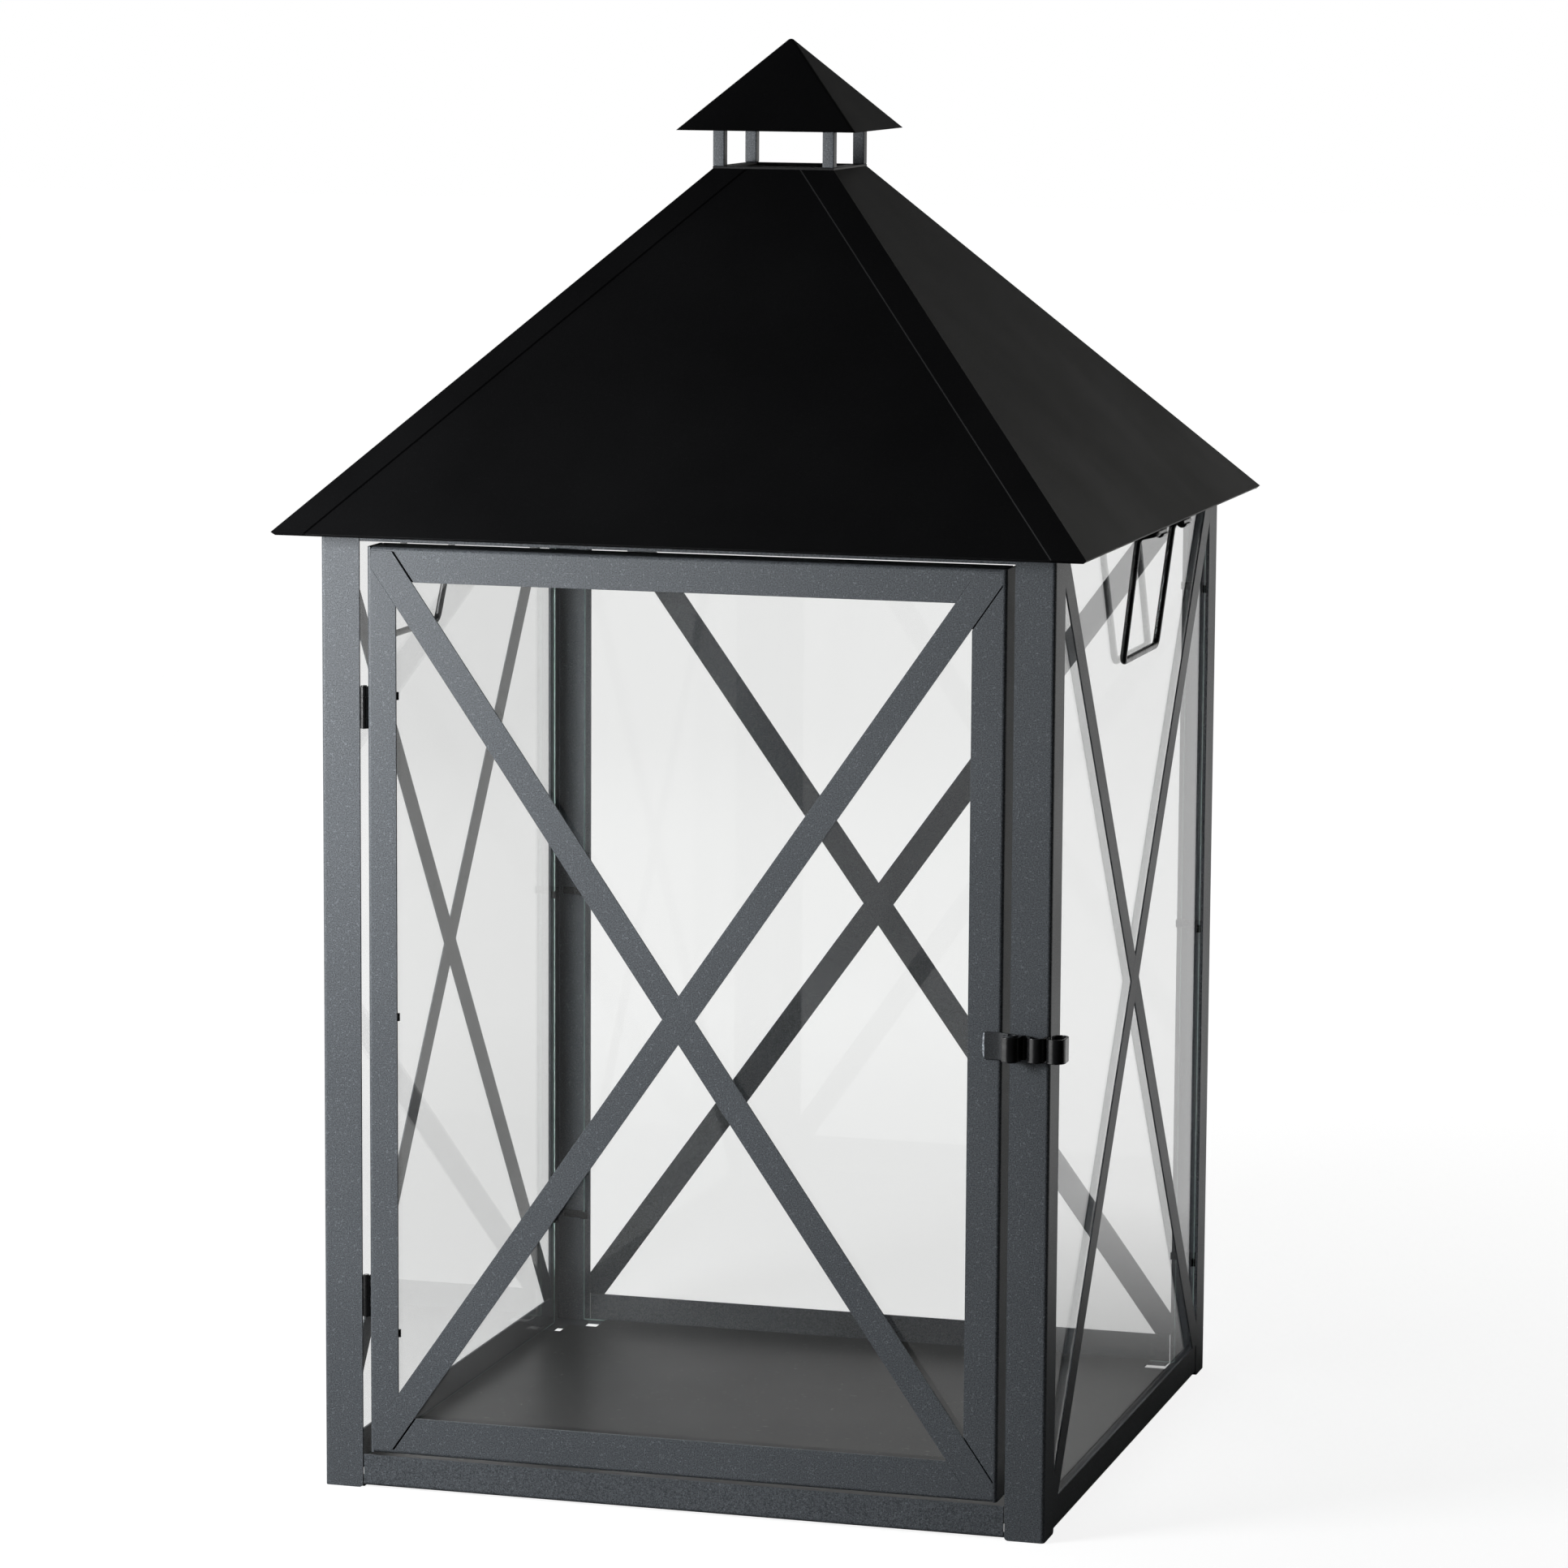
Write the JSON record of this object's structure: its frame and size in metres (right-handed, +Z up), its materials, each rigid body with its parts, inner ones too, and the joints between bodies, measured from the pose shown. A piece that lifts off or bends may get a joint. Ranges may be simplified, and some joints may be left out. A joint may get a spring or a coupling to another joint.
{
  "type": "candle lantern",
  "caption": "Floor-standing square candle lantern of folded black-grey steel and glass, with crossed strips, a hinged latched door, a vented hipped roof and swinging side handles.",
  "frame": {"origin": "on the floor under the middle of the square body, which is the middle of the eave's square to within 1.3 mm of the whole box", "axes": "+Z up; the door faces -Y; the hinges are at -X and the latch at +X as seen from the front"},
  "size_m": [0.4125, 0.41, 0.723],
  "materials": {
    "frame_paint": "matte dark grey powder coat with a fine sand texture",
    "roof_paint": "satin black powder coat with a fine sand texture",
    "floor_paint": "matte dark grey paint",
    "hardware_black": "semi-gloss black paint",
    "clear_glass": "clear window glass, 2 mm, with green cut edges"
  },
  "bodies": {
    "lantern": {"post_front_left": "frame_paint", "post_front_right": "frame_paint", "post_back_left": "frame_paint", "post_back_right": "frame_paint", "bottom_rail_front": "frame_paint", "bottom_rail_back": "frame_paint", "bottom_rail_left": "frame_paint", "bottom_rail_right": "frame_paint", "top_rail_front": "frame_paint", "top_rail_back": "frame_paint", "top_rail_left": "frame_paint", "top_rail_right": "frame_paint", "strip_left_rising": "frame_paint", "strip_left_falling": "frame_paint", "strip_right_rising": "frame_paint", "strip_right_falling": "frame_paint", "strip_back_rising": "frame_paint", "strip_back_falling": "frame_paint", "floor_tray": "floor_paint", "glass_left": "clear_glass", "glass_right": "clear_glass", "glass_back": "clear_glass", "roof_front": "roof_paint", "roof_back": "roof_paint", "roof_left": "roof_paint", "roof_right": "roof_paint", "roof_collar": "roof_paint", "chimney_cap": "roof_paint", "chimney_post_1": "frame_paint", "chimney_post_2": "frame_paint", "chimney_post_3": "frame_paint", "chimney_post_4": "frame_paint", "glass_clips_left": "hardware_black", "glass_clips_right": "hardware_black", "glass_clips_back": "hardware_black", "handle_eyes_left": "hardware_black", "handle_eyes_right": "hardware_black", "hinge_upper_post_leaf": "hardware_black", "hinge_lower_post_leaf": "hardware_black", "hinge_pin_upper": "hardware_black", "hinge_pin_lower": "hardware_black"},
    "door": {"door_stile_hinge": "frame_paint", "door_stile_latch": "frame_paint", "door_rail_top": "frame_paint", "door_rail_bottom": "frame_paint", "door_strip_rising": "frame_paint", "door_strip_falling": "frame_paint", "latch_tongue": "frame_paint", "door_glass": "clear_glass", "door_glass_clips": "hardware_black", "hinge_upper_door_leaf": "hardware_black", "hinge_lower_door_leaf": "hardware_black"},
    "latch": {"latch_hook": "hardware_black"},
    "left_handle": {"handle_left": "hardware_black"},
    "right_handle": {"handle_right": "hardware_black"}
  },
  "joints": [
    {"name": "door_hinge", "type": "hinge", "parent": "lantern", "child": "door", "pos_m": [-0.164, -0.185, 0.247], "axis": [0, 0, -1], "range_deg": [0, 110]},
    {"name": "latch_pivot", "type": "hinge", "parent": "door", "child": "latch", "pos_m": [0.1676, -0.1913, 0.245], "axis": [0, 0, -1], "range_deg": [0, 75]},
    {"name": "left_handle_swing", "type": "hinge", "parent": "lantern", "child": "left_handle", "pos_m": [-0.20174, 0, 0.48004], "axis": [0, 1, 0], "range_deg": [-17.2, 127]},
    {"name": "right_handle_swing", "type": "hinge", "parent": "lantern", "child": "right_handle", "pos_m": [0.20174, 0, 0.48004], "axis": [0, -1, 0], "range_deg": [0, 145]}
  ]
}
